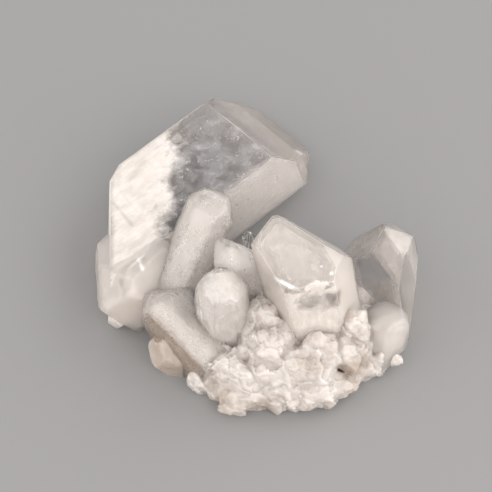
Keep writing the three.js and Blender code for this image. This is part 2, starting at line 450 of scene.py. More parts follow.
class Nodes:
    """Short calls to add and join nodes, for materials and for shared effects."""

    def __init__(self, tree):
        self.nodes, self.links = tree.nodes, tree.links

    def add(self, kind, values=None, **settings):
        node = self.nodes.new(kind)
        for name, value in settings.items():
            setattr(node, name, value)
        for name, value in (values or {}).items():
            self.feed(value, node.inputs[name])
        return node

    def join(self, source, target):
        self.links.new(source, target)

    def feed(self, value, socket):
        """Joins an output to a socket, or sets the socket to a number or colour."""
        if isinstance(value, bpy.types.NodeSocket):
            self.join(value, socket)
        else:
            socket.default_value = value

    def math(self, operation, *values, clamp=False):
        node = self.add("ShaderNodeMath", operation=operation, use_clamp=clamp)
        for socket, value in zip(node.inputs, values):
            self.feed(value, socket)
        return node.outputs[0]

    def vector_math(self, operation, a, b, result="Vector"):
        node = self.add("ShaderNodeVectorMath", operation=operation)
        self.feed(a, node.inputs[0])
        self.feed(b, node.inputs["Scale"] if operation == "SCALE" else node.inputs[1])
        return node.outputs[result]

    def noise(self, place, scale, detail, roughness, distortion=0.0):
        values = {"Scale": scale, "Detail": detail, "Roughness": roughness, "Distortion": distortion}
        return self.add("ShaderNodeTexNoise", {"Vector": place, **values}).outputs["Fac"]

    def ramp(self, value, start, end, low=0.0, high=1.0):
        """From low to high while a value goes from start to end."""
        values = {"Value": value, "From Min": start, "From Max": end, "To Min": low, "To Max": high}
        return self.add("ShaderNodeMapRange", values, clamp=True).outputs[0]

    def blend(self, share, a, b):
        """Two colours, mixed by a share."""
        node = self.add("ShaderNodeMix", data_type="RGBA")
        for number, value in ((0, share), (6, a), (7, b)):
            self.feed(value, node.inputs[number])
        return node.outputs[2]


class Tree(Nodes):
    """A material with a Principled shader."""

    def __init__(self, name):
        self.material = bpy.data.materials.new(name)
        self.material.use_nodes = True
        super().__init__(self.material.node_tree)
        self.nodes.clear()
        self.output = self.nodes.new("ShaderNodeOutputMaterial")
        self.shader = self.nodes.new("ShaderNodeBsdfPrincipled")
        self.links.new(self.shader.outputs[0], self.output.inputs["Surface"])

    def set(self, **values):
        for name, value in values.items():
            self.feed(value, self.shader.inputs[name.replace("_", " ")])

    def place(self):
        return self.add("ShaderNodeTexCoord").outputs["Object"]

    def face_value(self, name):
        return self.add("ShaderNodeAttribute", attribute_name=name).outputs["Fac"]

    def effect(self, build, place, **values):
        """A shared effect, which is built when it is first used."""
        node = self.add("ShaderNodeGroup", node_tree=bpy.data.node_groups.get(build.__name__) or build())
        self.join(place, node.inputs["Vector"])
        for name, value in values.items():
            self.feed(value, node.inputs[name])
        return node.outputs

    def tone(self, place, light, dark, size, share):
        colours = {"Light": (*light, 1), "Dark": (*dark, 1)}
        return self.effect(tone, place, Size=size, Share=share, **colours)["Color"]

    def bump(self, height, strength, distance, normal=None):
        node = self.add("ShaderNodeBump", {"Height": height, "Strength": strength, "Distance": distance})
        if normal:
            self.join(normal, node.inputs["Normal"])
        return node.outputs["Normal"]

    def lamps_through(self, tint):
        """Lets lamps shine through, tinted, so that what lies inside or behind is lit."""
        path = self.add("ShaderNodeLightPath")
        open_to_lamps = self.add("ShaderNodeBsdfTransparent", {"Color": (*tint, 1)})
        mix = self.add("ShaderNodeMixShader")
        self.join(path.outputs["Is Shadow Ray"], mix.inputs[0])
        self.join(self.shader.outputs[0], mix.inputs[1])
        self.join(open_to_lamps.outputs[0], mix.inputs[2])
        self.join(mix.outputs[0], self.output.inputs["Surface"])


class Effect(Nodes):
    """A shared effect: a shader node group with named inputs and outputs."""

    KINDS = {"v": "NodeSocketVector", "f": "NodeSocketFloat", "c": "NodeSocketColor"}

    def __init__(self, name, inputs, outputs):
        self.tree = bpy.data.node_groups.new(name, "ShaderNodeTree")
        super().__init__(self.tree)
        for label, kind, value in inputs:
            kind = self.KINDS[kind]
            socket = self.tree.interface.new_socket(label, in_out="INPUT", socket_type=kind)
            if value is not None:
                socket.default_value = value
        for label, kind in outputs:
            self.tree.interface.new_socket(label, in_out="OUTPUT", socket_type=self.KINDS[kind])
        self.given = self.nodes.new("NodeGroupInput").outputs
        self.wanted = self.nodes.new("NodeGroupOutput").inputs


def growth_lines():
    """Fine steps across the long axis, as on the sides of quartz, with broad low swells."""
    g = Effect(
        "growth_lines",
        [("Vector", "v", None), ("Lines", "f", 2.4), ("Swell", "f", 0.5)],
        [("Height", "f")],
    )
    drawn_out = g.vector_math("MULTIPLY", g.given["Vector"], (0.12, 0.12, 1.0))
    lines = g.noise(drawn_out, 900, 5, 0.62)
    swell = g.noise(g.given["Vector"], 170, 2, 0.5)
    line_part = g.math("MULTIPLY", lines, g.given["Lines"])
    swell_part = g.math("MULTIPLY", swell, g.given["Swell"])
    g.join(g.math("ADD", line_part, swell_part), g.wanted["Height"])
    return g.tree


def frost():
    """A fine crystalline frost: a height, and a mask of where it lies thick."""
    g = Effect(
        "frost",
        [("Vector", "v", None), ("Size", "f", 1.0)],
        [("Height", "f"), ("Mask", "f")],
    )
    place = g.vector_math("SCALE", g.given["Vector"], g.math("DIVIDE", 1.0, g.given["Size"]))
    grains = g.add("ShaderNodeTexVoronoi", {"Vector": place, "Scale": 2600, "Randomness": 1.0})
    pits = g.math("MULTIPLY", grains.outputs["Distance"], -0.4)
    g.join(g.math("ADD", pits, g.noise(place, 3800, 4, 0.7)), g.wanted["Height"])
    g.join(g.ramp(g.noise(place, 420, 6, 0.62), 0.42, 0.62), g.wanted["Mask"])
    return g.tree


def tone():
    """Uneven tone of natural quartz: two colours that drift into each other."""
    g = Effect(
        "tone",
        [
            ("Vector", "v", None),
            ("Light", "c", (0.9, 0.87, 0.84, 1)),
            ("Dark", "c", (0.7, 0.62, 0.55, 1)),
            ("Size", "f", 1.0),
            ("Share", "f", 0.5),
        ],
        [("Color", "c")],
    )
    place = g.vector_math("SCALE", g.given["Vector"], g.math("DIVIDE", 1.0, g.given["Size"]))
    reach = g.ramp(g.noise(place, 190, 7, 0.6), 0.36, 0.66)
    share = g.math("MULTIPLY", reach, g.given["Share"], clamp=True)
    g.join(g.blend(share, g.given["Light"], g.given["Dark"]), g.wanted["Color"])
    return g.tree


def ragged_spot():
    """A ragged spot, drawn out along its reach: 1 in its middle, 0 outside."""
    g = Effect(
        "ragged_spot",
        [
            ("Vector", "v", None),
            ("Drift", "f", 0.5),
            ("Centre", "v", (0, 0, 0)),
            ("Reach", "v", (0, 0, 0)),
            ("Radius", "f", 2 * MM),
            ("Softness", "f", 1 * MM),
            ("Ragged", "f", 2 * MM),
        ],
        [("Mask", "f")],
    )
    reach = g.given["Reach"]
    offset = g.vector_math("SUBTRACT", g.given["Vector"], g.given["Centre"])
    along = g.vector_math("DOT_PRODUCT", offset, reach, "Value")
    share = g.math("DIVIDE", along, g.vector_math("DOT_PRODUCT", reach, reach, "Value"))
    share = g.math("MAXIMUM", g.math("MINIMUM", share, 1.0), -1.0)
    away = g.vector_math("DISTANCE", offset, g.vector_math("SCALE", reach, share), "Value")
    wander = g.math("MULTIPLY", g.math("SUBTRACT", g.given["Drift"], 0.5), g.given["Ragged"])
    depth = g.math("ADD", g.math("SUBTRACT", g.given["Radius"], away), wander)
    g.join(g.math("DIVIDE", depth, g.given["Softness"], clamp=True), g.wanted["Mask"])
    return g.tree


def veil():
    """Healed cracks: thin clouds, and a fine snow of bright points."""
    g = Effect(
        "veil",
        [("Vector", "v", None), ("Cloud", "f", 0.4), ("Snow", "f", 0.6)],
        [("Mask", "f"), ("Tone", "f")],
    )
    place = g.given["Vector"]
    drift = g.noise(place, 300, 4, 0.6)
    cloud = g.ramp(g.noise(place, 260, 10, 0.68, 0.6), 0.47, 0.70)
    points = g.ramp(g.noise(place, 2600, 4, 0.65), 0.57, 0.65)
    patches = g.ramp(drift, 0.46, 0.60)
    snow = g.math("MULTIPLY", g.math("MULTIPLY", points, patches), g.given["Snow"])
    thin = g.math("MULTIPLY", cloud, g.given["Cloud"])
    g.join(g.math("MAXIMUM", thin, snow, clamp=True), g.wanted["Mask"])
    g.join(drift, g.wanted["Tone"])
    return g.tree


def milk_cloud():
    """Where milk lies in a crystal: thick towards -Z of the given frame, wispy at its edge."""
    g = Effect(
        "milk_cloud",
        [
            ("Vector", "v", None),
            ("Streaks", "v", None),
            ("Edge", "f", 0.0),
            ("Softness", "f", 3.0),
            ("Thickness", "f", 0.8),
            ("Wisps", "f", 0.0),
            ("Amount", "f", 0.0),
        ],
        [("Mask", "f")],
    )
    place = g.given["Vector"]
    height = g.add("ShaderNodeSeparateXYZ", {"Vector": place}).outputs["Z"]
    drift = g.math("SUBTRACT", g.noise(place, 240, 8, 0.62), 0.5)
    depth = g.math("ADD", g.math("SUBTRACT", g.given["Edge"], height), g.math("MULTIPLY", drift, 14 * MM))
    solid = g.math("DIVIDE", depth, g.given["Softness"], clamp=True)
    streaks = g.noise(g.given["Streaks"], 900, 9, 0.7)
    thin = g.ramp(streaks, 0.40, 0.64, low=0.4)
    root_part = g.math("MULTIPLY", solid, g.math("MULTIPLY_ADD", thin, 0.4, 0.6))
    root_part = g.math("MULTIPLY", root_part, g.given["Thickness"])
    face_part = g.math("MULTIPLY", g.math("MULTIPLY_ADD", thin, 0.45, 0.55), g.given["Amount"])
    wisps = g.math("MULTIPLY", g.ramp(streaks, 0.52, 0.74), g.given["Wisps"])
    most = g.math("MAXIMUM", root_part, g.math("MAXIMUM", face_part, wisps), clamp=True)
    g.join(most, g.wanted["Mask"])
    return g.tree


def own_frame(t, crystal):
    """Object coordinates turned into a crystal's own frame, with the long axis along Z."""
    values = {
        "Vector": t.place(),
        "Rotation": crystal.turn().to_euler(),
        "Location": -(crystal.turn() @ crystal.at),
    }
    return t.add("ShaderNodeMapping", values, vector_type="POINT").outputs["Vector"]


# ---- materials ----


def absorb(t, left_after_cm):
    """Takes light away inside a closed crystal, evenly, by how far it travels."""
    taken = [-math.log(v) / 0.01 for v in left_after_cm]
    density = 2.0 * max(taken)
    values = {"Color": (*[1 - v / density for v in taken], 1), "Density": density}
    inside = t.add("ShaderNodeVolumeAbsorption", values)
    t.join(inside.outputs[0], t.output.inputs["Volume"])


def clear_quartz(crystal, left_after_cm, lines=1.0, gloss=0.03, pits=0.035):
    """See-through quartz. Faces and edges with haze are dull and white, the rest is bright."""
    t = Tree("quartz_" + crystal.name)
    own = own_frame(t, crystal)
    t.set(IOR=QUARTZ_IOR, Transmission_Weight=1.0, Metallic=0.0)
    haze = t.face_value("amount")
    frosting = t.effect(frost, own, Size=1.0)
    spread = t.math("MULTIPLY_ADD", haze, 0.52, gloss, clamp=True)
    t.set(Roughness=t.math("MULTIPLY_ADD", frosting["Mask"], 0.07, spread))
    t.set(Base_Color=t.tone(own, (0.99, 0.985, 0.98), (0.88, 0.865, 0.85), 1.2, 0.6))
    growth = t.effect(growth_lines, own, Lines=lines)
    steps = t.bump(growth["Height"], 0.5, 0.02 * MM)
    etched = t.math("MULTIPLY", frosting["Height"], haze)
    t.set(Normal=t.bump(etched, 0.6, pits * MM, steps))
    absorb(t, left_after_cm)
    t.lamps_through((0.95, 0.95, 0.95))
    return t.material


def worn_edge():
    """The white of worn and chipped edges, which isn't see-through."""
    if "worn_edge" in bpy.data.materials:
        return bpy.data.materials["worn_edge"]
    t = Tree("worn_edge")
    place = t.place()
    t.set(Base_Color=t.tone(place, (0.94, 0.92, 0.90), (0.80, 0.75, 0.71), 0.4, 0.8))
    t.set(Normal=t.bump(t.effect(frost, place, Size=0.8)["Height"], 0.6, 0.05 * MM))
    t.set(Roughness=0.4, IOR=QUARTZ_IOR)
    t.lamps_through((0.6, 0.6, 0.6))
    return t.material


def nest(*place):
    """A point of the crystals' table as a point of the cluster."""
    return (Vector(place) + GROWTH_POINT) * MM


def spot(t, place, drift, start, end, radius, softness):
    """A mask of a ragged spot or streak between two points of the crystals' table."""
    start, end = nest(*start), nest(*(end or start))
    sizes = {"Radius": radius * MM, "Softness": softness * MM, "Ragged": (0.4 + radius) * MM}
    ends = {"Centre": (start + end) / 2, "Reach": (end - start) / 2}
    return t.effect(ragged_spot, place, Drift=drift, **sizes, **ends)["Mask"]


def milk(crystal, colour, stain, root_milk=None, wisps=0.0, windows=(), marks=()):
    """Milk under a crystal's faces and in its root.

    It is left out in the windows: start, end, radius and softness of each. A mark has a
    colour too, and the share of light that it stops where the quartz is clear.
    """
    t = Tree("milk_" + crystal.name)
    own, place = own_frame(t, crystal), t.place()
    towards, edge, softness, thickness = root_milk or ((0, 0, 1), -60, 5, 0)
    along_z = Vector(towards).to_track_quat("Z", "X").to_matrix().transposed()
    turned = {"Vector": place, "Rotation": along_z.to_euler()}
    drawn_out = {"Vector": own, "Scale": (1, 1, 0.4)}
    alpha = t.effect(
        milk_cloud,
        t.add("ShaderNodeMapping", turned, vector_type="POINT").outputs["Vector"],
        Streaks=t.add("ShaderNodeMapping", drawn_out, vector_type="POINT").outputs["Vector"],
        Edge=edge * MM,
        Softness=softness * MM,
        Thickness=thickness,
        Wisps=wisps,
        Amount=t.face_value("amount"),
    )["Mask"]
    drift = t.noise(place, 620, 5, 0.68)
    for window in windows:
        left = t.math("MULTIPLY_ADD", spot(t, place, drift, *window), -0.9, 1.0)
        alpha = t.math("MULTIPLY", alpha, left)
    beige_toned = [0.6 * a + 0.4 * b for a, b in zip(colour, stain)]
    # Faces mix towards the stain colour by their own share: a beige stain, and on the plate's face turned
    # from the key light painted shade as well.
    shade = t.blend(t.face_value("stain"), t.tone(own, colour, beige_toned, 0.35, 0.6), (*stain, 1))
    for *where, mark_colour, share in marks:
        mask = spot(t, place, drift, *where)
        shade = t.blend(mask, shade, (*mark_colour, 1))
        if share:
            alpha = t.math("MAXIMUM", alpha, t.math("MULTIPLY", mask, share))
    t.set(Alpha=alpha, Base_Color=shade, Roughness=0.6, Specular_IOR_Level=0.2)
    return t.material


def healed_crack(name, cloud, snow):
    """Thin white clouds and points in clear quartz, with a bluish tone here and there."""
    t = Tree("healed_crack_" + name)
    mask = t.effect(veil, t.place(), Cloud=cloud, Snow=snow)
    shade = t.blend(mask["Tone"], (0.80, 0.84, 0.92, 1), (0.98, 0.95, 0.91, 1))
    t.set(Alpha=mask["Mask"], Base_Color=shade, Roughness=0.5, Specular_IOR_Level=0.2)
    return t.material


def broken_quartz(settings):
    """The granular root: white grains, turned beige by stains and by painted shade in its hollows and on
    parts turned from the light.
    """
    t = Tree("broken_quartz")
    place = t.place()
    t.set(IOR=QUARTZ_IOR, Transmission_Weight=0.0, Metallic=0.0)
    t.set(Subsurface_Weight=1.0, Subsurface_Scale=2.2 * MM, Subsurface_Radius=(1.1, 1.03, 0.97))
    t.set(Coat_Weight=0.6, Coat_Roughness=0.1, Coat_IOR=1.5)
    between = [(a + b) / 2 for a, b in zip(settings.light, settings.dark)]
    grains = t.tone(place, settings.light, between, 0.6, 0.5)
    # Mixes towards the dark colour by the per-vertex share: stains, and painted shade in hollows and on
    # parts turned from the light.
    t.set(Base_Color=t.blend(t.face_value("root_stain_and_shade"), grains, (*settings.dark, 1)))
    frosting = t.effect(frost, place, Size=1.4)
    t.set(Roughness=t.ramp(frosting["Mask"], 0.0, 1.0, 0.2, 0.6))
    t.set(Normal=t.bump(frosting["Height"], 0.8, 0.1 * MM))
    t.lamps_through((0.30, 0.27, 0.25))
    return t.material


# ---- pieces ----

WHITE, GREY, BLUE = (0.97, 0.955, 0.94), (0.36, 0.33, 0.31), (0.40, 0.43, 0.48)

# Where the root turns beige, by stain or painted shade: a point of the crystals' table, a radius and how
# much.
STAINED_AND_SHADED_PARTS = [
    # Beige stain and painted shade on the slab's side turned from the key light.
    ((-12.2, -23.4, 2.7), 5.0, 0.95),
    # Beige stain on the knob.
    ((-2.2, -29.2, 2.2), 4.0, 0.6),
    # Painted shade in the recess at the right.
    ((16.4, -26, 3.4), 4.0, 0.55),
    # More beige along the bottom edge at the front.
    ((3, -32, 0.8), 3, 0.3),
    ((11, -31, 0.8), 3, 0.3),
]

SIDES_AND_ENDS = [f"{kind}_{i}" for kind in ("side", "end") for i in range(6)]


def amounts(every, broken=0.9, **other):
    """Haze or milk for a crystal's faces: `every` on all, and other values by face name."""
    values = {name: every for name in SIDES_AND_ENDS}
    values.update({"root": broken, **{f"break_{i}": broken for i in range(6)}})
    values.update(other)
    return values


def add_crystal(
    context, crystal, haze, lines=1.0, gloss=0.03, beyond=None, left=1.0, worn=0.5, weathered=None
):
    settings = context.scene.quartz_crystals
    bm = crystal_block(crystal, haze)
    if beyond:
        look, out = beyond
        for face in cut(bm, -look, -out):
            face[bm.faces.layers.float["amount"]] = 0.3
        bmesh.ops.recalc_face_normals(bm, faces=bm.faces)
    if weathered:
        weather(bm, crystal, *weathered)
    else:
        wear_edges(bm, settings.edge_width, settings.edge_wear, worn)
    colour = [v**left for v in settings.clear_colour]
    pits = 0.015 if weathered else 0.035
    lines = 0.0 if weathered else lines
    materials = [clear_quartz(crystal, colour, lines, gloss, pits), worn_edge()]
    piece = finished_piece(bm, crystal.name + "_crystal", materials)
    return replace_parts(piece, NODE)


def add_milk(
    context, crystal, insets, thick, stains=None, bands=(), weathered=None, deep=0.0, **look
):
    """Thin uneven layers inside a crystal, one inside the other, that show as a white cloud."""
    settings = context.scene.quartz_crystals
    names = list(crystal.faces)
    cloud = bmesh.new()
    weights = [(number + 1) ** deep for number in range(len(insets))]
    for inset, weight in zip(insets, weights):
        part = weight / sum(weights)
        shares = {name: 1 - (1 - min(v, 0.99)) ** part for name, v in thick.items()}
        low = (0.12 + 0.3 * inset) * MM
        bm = crystal_block(crystal, shares, inset=inset * MM, lowest=low)
        amount, stain = bm.faces.layers.float["amount"], bm.faces.layers.float["stain"]
        number, strips = bm.faces.layers.int["number"], bm.faces.layers.int["strip"]
        for name, side, out, value in bands:
            side = Vector(side).normalized()
            split_faces(bm, [f for f in bm.faces if f[number] == names.index(name)], side, out * MM)
            for face in bm.faces:
                beyond = face.calc_center_median().dot(side) > out * MM
                if face[number] == names.index(name) and beyond:
                    face[amount] = 1 - (1 - value) ** part
        for face in bm.faces:
            face[strips] = 1
            if stains and face[number] >= 0:
                face[stain] = stains.get(names[face[number]], stains.get("every", 0.0))
        if weathered:
            weather(bm, crystal, *weathered, inset)
        else:
            split_long_edges(bm, strips, 1.3 * MM)
        for vert in bm.verts:
            dent = abs(noise.noise(vert.co / (2.6 * MM) + Vector((inset, 2, 4))))
            way, _, _ = near_surface(crystal, vert.co, inset, 0.1)
            vert.co -= way * dent * 0.8 * inset * MM
            vert.co.z = max(vert.co.z, low)
        layer = bpy.data.meshes.new("layer")
        bm.to_mesh(layer)
        bm.free()
        cloud.from_mesh(layer)
        bpy.data.meshes.remove(layer)
    for face in cloud.faces:
        face.smooth = True
    material = milk(crystal, tuple(settings.milk_colour), tuple(settings.stain_colour), **look)
    return finished_piece(cloud, crystal.name + "_milk", [material])


def add_weathered(context, crystal, haze, worn, thick, insets=(0.25, 0.85, 1.7), **milk_look):
    """A dull crystal with soft edges, and milk that grows thicker towards its middle."""
    add_crystal(context, crystal, amounts(haze), weathered=worn)
    add_milk(context, crystal, insets, thick, weathered=worn, deep=1.2, **milk_look)


def add_healed_crack(crystal, name, centre, look, cloud, snow, inset=0.5):
    """A thin uneven sheet across the inside of a crystal."""
    bm = bmesh.new()
    turn = Vector(look).to_track_quat("Z", "X").to_matrix().to_4x4()
    place = Matrix.Translation(nest(*centre)) @ turn
    bmesh.ops.create_grid(bm, x_segments=60, y_segments=60, size=30 * MM, matrix=place)
    for side, out in crystal.faces.values():
        cut(bm, side, out - inset * MM)
    across = Vector(look).normalized()
    for vert in bm.verts:
        if not any(e.is_boundary for e in vert.link_edges):
            vert.co += across * noise.noise(vert.co / (6 * MM)) * 1.2 * MM
    for face in bm.faces:
        face.smooth = True
    return finished_piece(bm, name, [healed_crack(name, cloud, snow)])


class QUARTZ_OT_main(bpy.types.Operator):
    """Grows the broad flat crystal, its low step and the milk in its root"""

    bl_idname = "quartz.main"
    bl_label = "Main crystal"

    def execute(self, context):
        haze = amounts(
            0.5, side_0=0.04, side_1=0.30, side_3=0.4, end_0=0.08, end_1=0.2, end_5=0.2
        )
        add_crystal(context, MAIN, haze, worn=0.3)
        look, out = MAIN.faces["side_4"]
        add_crystal(context, STEP, amounts(0.5), beyond=(look, out - 0.02 * MM), worn=0.3)
        thick = amounts(0.4, 0.9, side_0=0.0, side_1=0.75, end_0=0.02, end_1=0.6)
        add_milk(
            context,
            MAIN,
            (0.12, 0.8, 1.8, 3.2),
            thick,
            stains={"end_0": 0.35, "end_1": 0.4, "side_1": 0.12, "every": 0.0},
            bands=[("end_0", (0, 0, -1), -8.2, 0.5)],
            root_milk=((1, -0.12, 0), -13.6, 2.2, 0.85),
            wisps=0.08,
            marks=[
                ((-16.8, 9.7, 10.5), (-18.5, 6.5, 10.5), 1.2, 2, (0.74, 0.69, 0.62), 0),
                ((-21.2, 0.9, 10.5), (-18.1, -3.4, 10.5), 0.5, 0.9, (0.5, 0.46, 0.42), 0),
                ((-20.4, 3.6, 10.5), (-17.6, -0.6, 10.5), 0.3, 1, (0.68, 0.64, 0.6), 0),
                ((-22.6, -2.4, 10.5), (-20.6, -6.6, 10.5), 0.3, 1, (0.7, 0.66, 0.62), 0),
                ((-15, 8, 10.5), (-13.6, 3, 10.5), 0.2, 0.9, (0.74, 0.7, 0.66), 0),
                ((-5, 8.7, 10.4), (-4.5, 11.8, 10.4), 2.2, 1.8, BLUE, 0.14),
                ((-5.1, 16.7, 10.4), None, 2.4, 2, (0.6, 0.64, 0.68), 0.08),
                ((0.3, 8.7, 10.4), (0, 11.8, 10.4), 1.5, 2, WHITE, 0.12),
                ((-10.6, 5.6, 10.4), (-8.7, 3.5, 10.4), 1.1, 1.2, WHITE, 0.14),
                ((-8.4, 13.3, 10.4), None, 0.8, 0.6, (0.55, 0.45, 0.3), 0.14),
                ((-3.5, 20.9, 9.5), (4.9, 12.4, 9.4), 1.5, 0.8, GREY, 0.25),
                ((9.1, 15.7, 5.2), None, 1.1, 0.6, WHITE, 0.5),
            ],
        )
        add_healed_crack(MAIN, "main_crack_high", (-8, 9, 9.4), (0.06, -0.08, 1), 0.42, 0.9)
        add_healed_crack(MAIN, "main_crack_low", (-8, 9, 5.6), (-0.2, 0.12, 1), 0.30, 0.5)
        return {"FINISHED"}


class QUARTZ_OT_frosted(bpy.types.Operator):
    """Grows the frosted crystals at the left and right and across the main one"""

    bl_idname = "quartz.frosted"
    bl_label = "Frosted crystals"

    def execute(self, context):
        add_weathered(
            context,
            LOBE,
            0.5,
            (0.08, 0.12, 0.35),
            amounts(0.94, 0.9, end_0=0.9, break_4=0.85),
            stains={"end_0": 0.2, "break_4": 0.35, "every": 0.06},
            marks=[
                ((-19.4, -14, 10.4), (-18.9, -16.9, 9.5), 0.7, 0.5, GREY, 0),
                ((-20.9, -17.8, 6.5), None, 0.6, 0.4, GREY, 0),
                # These two white streaks are painted highlights.
                ((-17.4, -8.7, 10.5), (-16.1, -12.2, 11.2), 0.6, 0.4, WHITE, 0.9),
                ((-18.3, -12, 11), (-15.7, -8.4, 10.7), 0.6, 0.4, WHITE, 0.9),
            ],
        )
        add_weathered(
            context,
            FINGER,
            0.45,
            (0.06, 0.12, 0.3),
            amounts(0.95, 0.95, end_0=0.88),
            windows=[((-6.6, -0.9, 15.0), (-5.8, -1.1, 15.0), 0.9, 0.4)],
        )
        add_weathered(
            context,
            PLATE,
            0.4,
            (0.05, 0.08, 0.25),
            amounts(0.9, 0.9, side_5=0.75),
            # side_5 turns away from the key light, and its full beige there is a stain with painted
            # shade.
            stains={"side_5": 1.0, "every": 0.1},
        )
        add_weathered(
            context,
            CENTRE_BACK,
            0.45,
            (0.07, 0.12, 0.4),
            amounts(0.95, 0.9),
            windows=[((-3.1, -12.7, 17.4), None, 1.0, 0.5)],
        )
        add_weathered(context, STUB, 0.5, (0.16, 0.16, 0.45), amounts(0.93, 0.9))
        return {"FINISHED"}


class QUARTZ_OT_clear(bpy.types.Operator):
    """Grows the upright crystals, which are clear or clouded inside"""

    bl_idname = "quartz.clear"
    bl_label = "Upright crystals"

    def execute(self, context):
        add_weathered(
            context,
            CENTRE,
            0.3,
            (0.06, 0.12, 0.4),
            amounts(0.92, end_4=0.95, side_3=0.82, side_4=0.9),
            (0.2, 0.7, 1.4),
            marks=[
                ((-4.7, -21.2, 16.6), None, 0.5, 0.6, GREY, 0),
                ((-7, -19.9, 14.5), (-6.9, -21, 9.8), 0.6, 0.4, WHITE, 0.9),
                ((-6.7, -20.6, 13.8), (-4.2, -22.9, 11.2), 0.4, 0.5, WHITE, 0.6),
                ((-5, -22.3, 12.2), (-2.6, -22.2, 13.9), 0.35, 0.5, WHITE, 0.6),
            ],
        )
        for name, centre, look in (
            ("centre_crack_left", (-5.4, -21.4, 12), (-0.85, -0.4, 0.35)),
            ("centre_crack_top", (-3.2, -20.4, 15.4), (0.1, -0.3, 0.95)),
        ):
            add_healed_crack(CENTRE, name, centre, look, 0.9, 0.3, inset=0.5)
        add_crystal(context, TINY, amounts(0.02), gloss=0.01)
        add_crystal(
            context, TALL, amounts(0.3, side_0=0.12, side_1=0.6, side_5=0.5, end_1=0.6), worn=0.2
        )
        add_milk(
            context,
            TALL,
            (0.25, 1.0, 2.2),
            amounts(0.92, end_0=0.66, end_1=0.92, side_0=0.3, side_1=0.98, side_5=0.97),
            stains={"side_5": 0.2, "every": 0.12},
            root_milk=(tuple(TALL.axis), 11.6, 0.8, 0.8),
            deep=0.6,
            windows=[((9.4, -20.7, 14.6), (13.4, -20.3, 14.8), 2.1, 0.9)],
            marks=[
                ((3.5, -11.9, 23.5), None, 0.5, 0.4, GREY, 0.3),
                ((5.3, -12.9, 22.9), None, 0.8, 0.7, BLUE, 0.3),
                ((9.8, -16.8, 20.3), (11.4, -17, 20.4), 1.2, 1.8, (0.6, 0.61, 0.63), 0),
                ((4.6, -18.9, 17.1), (8, -20.4, 16.7), 0.5, 0.4, GREY, 0.4),
                ((4, -18.2, 17.9), (7.4, -20.1, 17.4), 0.5, 0.3, WHITE, 0.9),
                ((7.4, -20.1, 17.4), (13.1, -19.5, 18.3), 0.45, 0.3, WHITE, 0.9),
                ((11.3, -17.6, 19.8), None, 0.5, 0.3, WHITE, 0.9),
                ((12.8, -18.5, 19.2), None, 0.5, 0.3, WHITE, 0.9),
            ],
        )
        add_crystal(
            context,
            UPRIGHT,
            amounts(0.04, side_3=0.2, side_4=0.3, end_2=0.3, end_1=0.15),
            left=1.35,
            worn=0.25,
        )
        add_milk(
            context,
            UPRIGHT,
            (0.2, 1.2),
            amounts(
                0.1, side_0=0.06, side_2=0.65, end_1=0.5, end_2=0.72, end_3=0.6, end_5=0.55, break_0=0.3
            ),
            stains={"end_1": 0.3, "end_5": 0.4, "every": 0.1},
            root_milk=((0, 0, 1), 2.5, 2, 0.6),
        )
        return {"FINISHED"}


